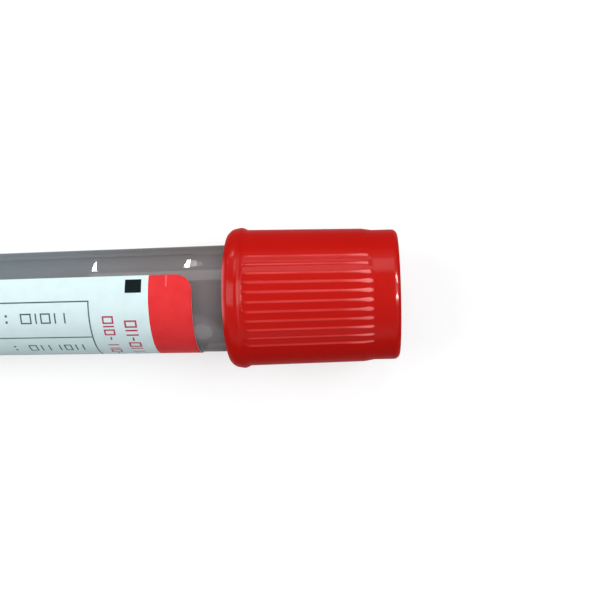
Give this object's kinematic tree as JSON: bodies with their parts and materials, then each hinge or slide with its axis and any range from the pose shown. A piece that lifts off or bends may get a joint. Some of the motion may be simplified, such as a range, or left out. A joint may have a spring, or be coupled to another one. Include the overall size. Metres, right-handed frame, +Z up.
{
  "type": "blood collection tube",
  "caption": "Capped vacuum blood collection tube: clear drafted plastic tube with round bottom, wrap label, rubber stopper and ridged red safety cap.",
  "frame": {"origin": "on the surface the tube lies on, under the middle of its length and width", "axes": "+Z up; +X along the lying tube, from the closed bottom to the cap; the tube's axis rises towards the cap by 2.4 degrees, because it lies on its round bottom and on the cap's rim; +Y across"},
  "size_m": [0.0838, 0.0168, 0.0169],
  "materials": {
    "tube": "clear, glossy",
    "stopper": "matt",
    "safety_cap": "glossy",
    "label": "satin coated, red band"
  },
  "bodies": {
    "tube": {"tube": "tube", "label": "label"},
    "closure": {"safety_cap": "safety_cap", "stopper": "stopper"}
  },
  "joints": [
    {"name": "closure_pull", "type": "slide", "parent": "tube", "child": "closure", "axis": [0.9991, 0, 0.0418], "range_m": [0, 0.03]}
  ]
}
